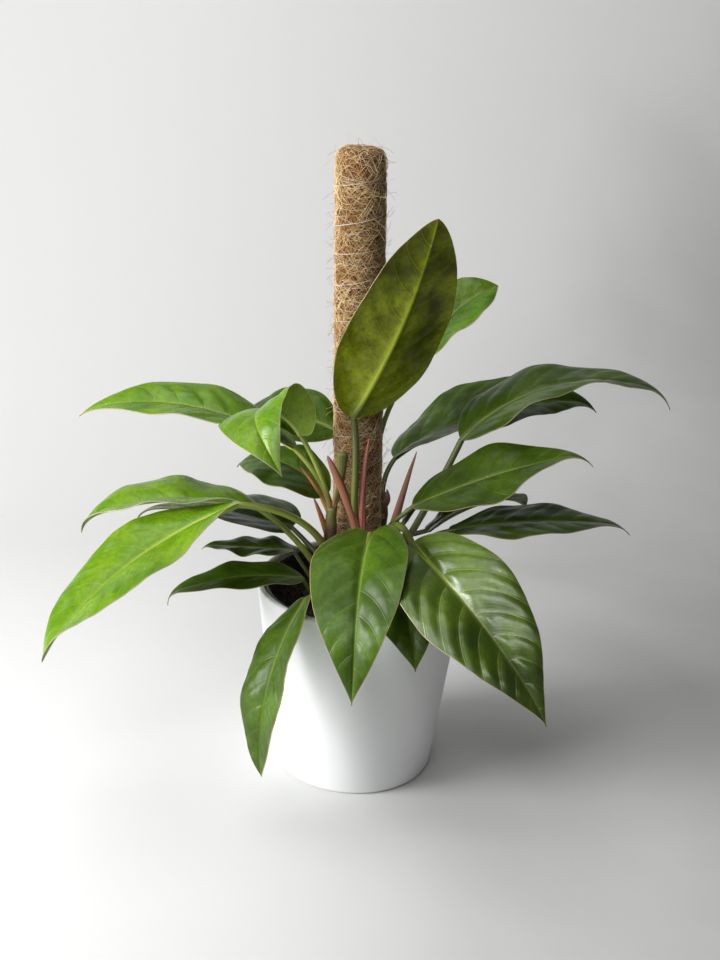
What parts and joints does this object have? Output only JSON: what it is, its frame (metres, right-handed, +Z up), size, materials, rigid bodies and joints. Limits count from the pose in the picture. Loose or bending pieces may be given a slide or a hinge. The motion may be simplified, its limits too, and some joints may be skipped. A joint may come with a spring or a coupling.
{
  "type": "potted climbing philodendron",
  "caption": "Bushy broad-leaved philodendron climbing a coir pole, in a nursery pot of soil inside a plain white tapered cover pot.",
  "frame": {"origin": "centre of the cover pot's underside", "axes": "+Z up, -Y towards the viewer of the picture, +X to the viewer's right"},
  "size_m": [0.5744, 0.3305, 0.6296],
  "materials": {
    "pot_glaze": "satin",
    "nursery_plastic": "matte",
    "potting_mix": "matte",
    "pole_wood": "matte",
    "coir_fibre": "matte",
    "nylon_thread": "satin",
    "green_stem": "satin",
    "brown_sheath": "satin",
    "leaf_blade": "satin"
  },
  "bodies": {
    "root": {"cover_pot": "pot_glaze", "nursery_pot": "nursery_plastic", "soil": "potting_mix", "pole_core": "pole_wood", "coir_sleeve": "coir_fibre", "binding_thread": "nylon_thread", "stem_left": "green_stem", "stem_front": "green_stem", "stem_right": "green_stem", "stem_back": "green_stem", "sheath_brown_front": "brown_sheath", "spear_pink_front": "brown_sheath", "spear_brown_right": "brown_sheath", "sheath_yellow_left": "brown_sheath", "sheath_yellow_high": "brown_sheath", "sheath_green_left": "brown_sheath", "stub_olive_left": "brown_sheath", "sheath_pink_right": "brown_sheath", "leaf_top": "leaf_blade", "leaf_front": "leaf_blade", "leaf_front_right": "leaf_blade", "leaf_front_low": "leaf_blade", "leaf_front_left": "leaf_blade", "leaf_left_long": "leaf_blade", "leaf_left_upper": "leaf_blade", "leaf_left_dark": "leaf_blade", "leaf_left_slim": "leaf_blade", "leaf_left_low": "leaf_blade", "leaf_left_high": "leaf_blade", "leaf_left_arched": "leaf_blade", "leaf_left_shaded": "leaf_blade", "leaf_back_left_low": "leaf_blade", "leaf_right": "leaf_blade", "leaf_right_long": "leaf_blade", "leaf_right_dark": "leaf_blade", "leaf_right_high": "leaf_blade", "leaf_back_right": "leaf_blade", "leaf_back_right_low": "leaf_blade", "leaf_behind_right": "leaf_blade"}
  },
  "joints": []
}
